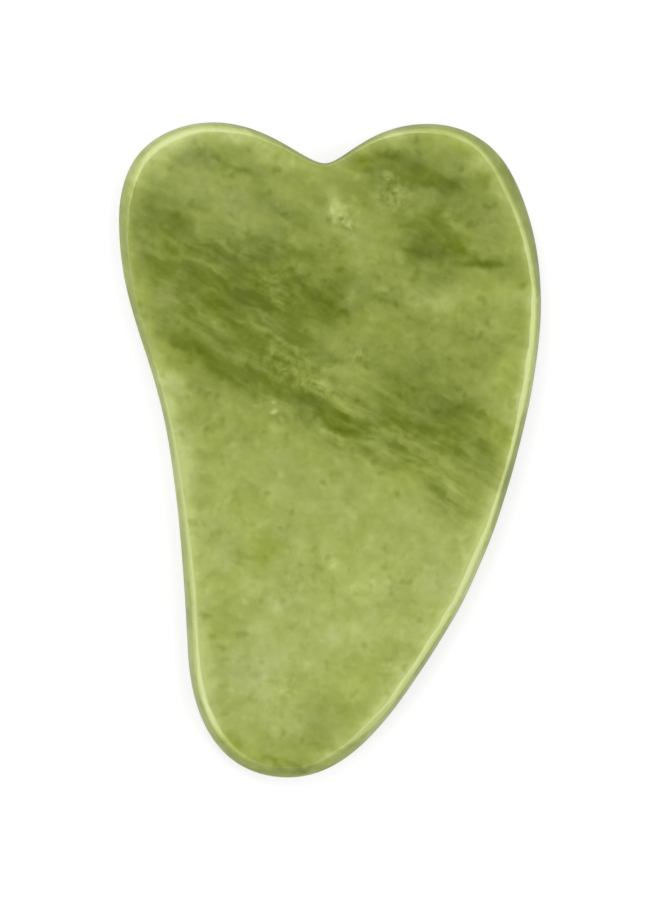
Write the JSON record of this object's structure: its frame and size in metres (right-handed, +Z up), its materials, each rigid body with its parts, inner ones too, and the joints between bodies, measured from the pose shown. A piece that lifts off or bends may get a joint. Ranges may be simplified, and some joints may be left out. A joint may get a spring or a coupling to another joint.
{
  "type": "gua sha board",
  "caption": "Flat polished jade board in a lopsided heart shape, with a rounded ground edge, a notch between its lobes and a hollow side, for scraping the face and neck.",
  "frame": {"origin": "centre of the bounding box, on the lower flat face that the board rests on", "axes": "+Z up through the thickness, +Y along the length towards the two lobes, +X towards the long convex side"},
  "size_m": [0.0548, 0.085, 0.006],
  "materials": {
    "jade": "polished, cloudy green with darker diagonal streaks"
  },
  "bodies": {
    "root": {"jade_board": "jade"}
  },
  "joints": []
}
